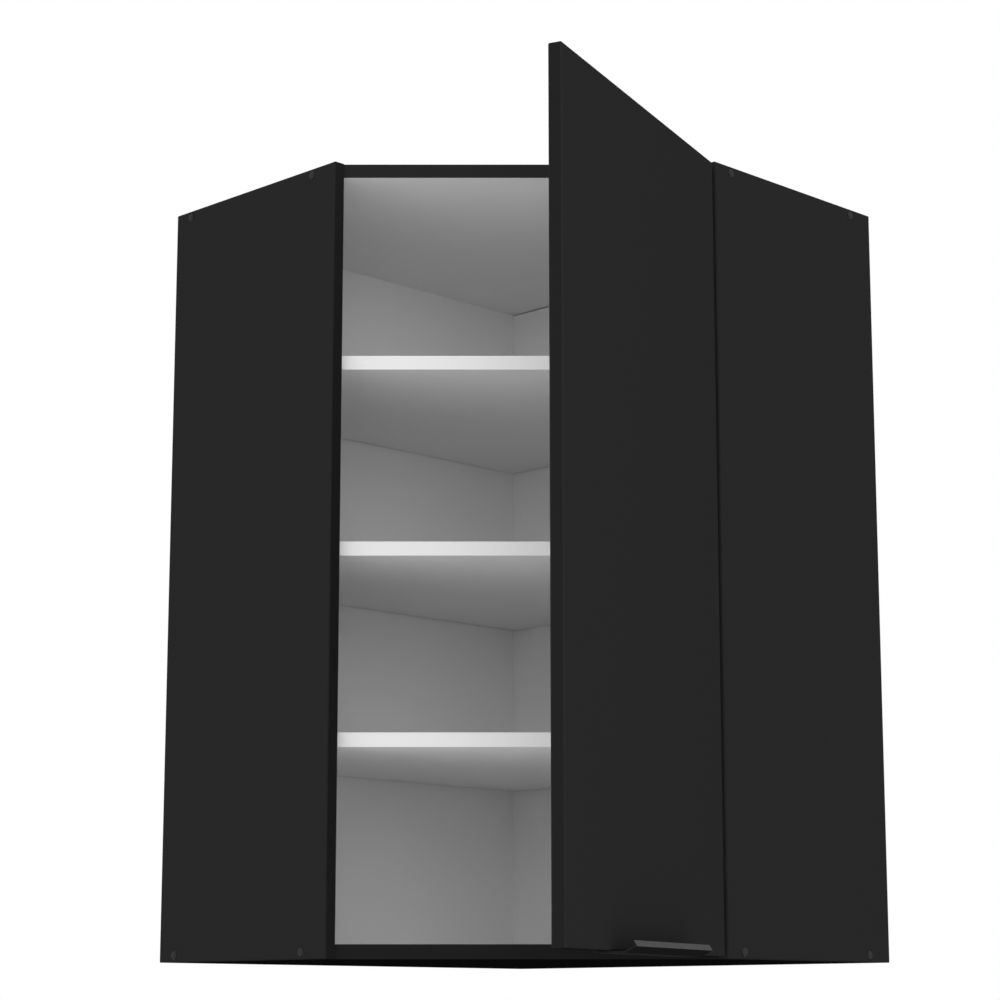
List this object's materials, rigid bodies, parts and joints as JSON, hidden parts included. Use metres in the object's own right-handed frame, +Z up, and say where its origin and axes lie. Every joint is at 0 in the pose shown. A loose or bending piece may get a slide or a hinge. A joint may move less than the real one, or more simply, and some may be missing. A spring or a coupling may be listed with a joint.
{
  "type": "corner wall cabinet",
  "caption": "Diagonal corner wall cabinet with a hinged door, fixed five-sided boards, lift-out shelves on pins and an edge grip.",
  "frame": {"origin": "the corner of the room, where the two walls meet, at the level of the cabinet's underside", "axes": "+Z up; +X along the right-hand wall, away from the corner; +Y into the right-hand wall, so the left-hand wall runs along -Y"},
  "size_m": [0.7313, 0.6893, 0.9],
  "materials": {
    "black_laminate": "matt black melamine on particle board",
    "white_laminate": "light grey-white melamine on particle board",
    "black_plastic": "matt black moulded caps",
    "steel": "nickel-plated pressed steel",
    "dark_aluminium": "dark anodised aluminium",
    "clear_rubber": "soft clear buffers"
  },
  "bodies": {
    "carcass": {"left_side": "black_laminate", "right_side": "black_laminate", "top_board": "black_laminate", "bottom_board": "black_laminate", "left_back": "white_laminate", "right_back": "white_laminate", "shelf_lower": "white_laminate", "shelf_middle": "white_laminate", "shelf_upper": "white_laminate", "shelf_pin_lower_left_rear": "steel", "shelf_pin_lower_left_front": "steel", "shelf_pin_lower_right_rear": "steel", "shelf_pin_lower_right_front": "steel", "shelf_pin_lower_back": "steel", "shelf_pin_middle_left_rear": "steel", "shelf_pin_middle_left_front": "steel", "shelf_pin_middle_right_rear": "steel", "shelf_pin_middle_right_front": "steel", "shelf_pin_middle_back": "steel", "shelf_pin_upper_left_rear": "steel", "shelf_pin_upper_left_front": "steel", "shelf_pin_upper_right_rear": "steel", "shelf_pin_upper_right_front": "steel", "shelf_pin_upper_back": "steel", "carcass_screw_left_bottom_rear": "steel", "carcass_screw_left_bottom_front": "steel", "carcass_screw_left_top_rear": "steel", "carcass_screw_left_top_front": "steel", "carcass_screw_right_bottom_rear": "steel", "carcass_screw_right_bottom_front": "steel", "carcass_screw_right_top_rear": "steel", "carcass_screw_right_top_front": "steel", "cover_cap_left_bottom_rear": "black_plastic", "cover_cap_left_bottom_front": "black_plastic", "cover_cap_left_top_rear": "black_plastic", "cover_cap_left_top_front": "black_plastic", "cover_cap_right_bottom_rear": "black_plastic", "cover_cap_right_bottom_front": "black_plastic", "cover_cap_right_top_rear": "black_plastic", "cover_cap_right_top_front": "black_plastic", "left_hanger": "steel", "left_hanger_hook": "steel", "right_hanger": "steel", "right_hanger_hook": "steel", "hinge_lower_plate": "steel", "hinge_lower_arm": "steel", "hinge_upper_plate": "steel", "hinge_upper_arm": "steel"},
    "door": {"door": "black_laminate", "handle": "dark_aluminium", "handle_screw_left": "steel", "handle_screw_right": "steel", "door_buffer_bottom": "clear_rubber", "door_buffer_top": "clear_rubber", "hinge_lower_cup": "steel", "hinge_upper_cup": "steel"}
  },
  "joints": [
    {"name": "door_hinge", "type": "hinge", "parent": "carcass", "child": "door", "pos_m": [0.58928, -0.29686, 0.45], "axis": [0, 0, 1], "range_deg": [-64, 31]}
  ]
}
